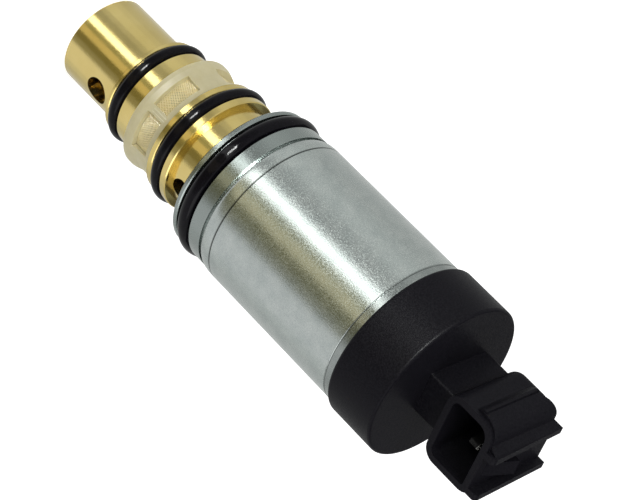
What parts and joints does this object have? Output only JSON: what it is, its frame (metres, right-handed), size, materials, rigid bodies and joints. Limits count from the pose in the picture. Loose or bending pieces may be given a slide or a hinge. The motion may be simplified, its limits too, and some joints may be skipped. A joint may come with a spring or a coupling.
{
  "type": "compressor control valve",
  "caption": "Solenoid control valve for a compressor: brass body with seal rings and filter, steel coil case and black plastic cap with a plug socket.",
  "frame": {"origin": "centre of the brass nose's end face", "axes": "+Z along the valve's axis from the nose to the connector; the connector's mouth faces -Y; +X to the right when looking into the socket's back, along +Y"},
  "size_m": [0.0274, 0.0274, 0.0965],
  "materials": {
    "brass": "fine turned",
    "bronze_foil": "satin",
    "steel": "machined",
    "sleeve_steel": "drawn",
    "rod_steel": "ground",
    "spring_steel": "drawn wire",
    "zinc_steel": "zinc plated",
    "copper_wire": "enamelled wire",
    "bobbin_plastic": "moulded",
    "black_plastic": "moulded, fine grain",
    "tinned_brass": "tinned",
    "black_rubber": "smooth, slightly oily",
    "filter_plastic": "translucent cream"
  },
  "bodies": {
    "housing": {"valve_body": "brass", "end_plug": "brass", "capsule_base": "steel", "bellows": "bronze_foil", "capsule_spring": "spring_steel", "plunger_spring": "spring_steel", "fixed_core": "steel", "guide_sleeve": "sleeve_steel", "coil_bobbin": "bobbin_plastic", "coil_winding": "copper_wire", "solenoid_flange": "zinc_steel", "solenoid_case": "zinc_steel", "end_plate": "zinc_steel", "connector_cap": "black_plastic", "terminal_left": "tinned_brass", "terminal_right": "tinned_brass", "nose_o_ring": "black_rubber", "middle_o_ring": "black_rubber", "flange_o_ring": "black_rubber", "filter_frame": "filter_plastic", "filter_mesh": "filter_plastic"},
    "armature": {"valve_rod": "rod_steel", "plunger": "steel", "capsule_head": "steel"}
  },
  "joints": [
    {"name": "valve_stroke", "type": "slide", "parent": "housing", "child": "armature", "axis": [0, 0, -1], "range_m": [0, 0.0008], "stiffness_N_per_m": 1500, "springref_m": -0.002, "deforming": ["plunger_spring", "bellows", "capsule_spring"]}
  ]
}
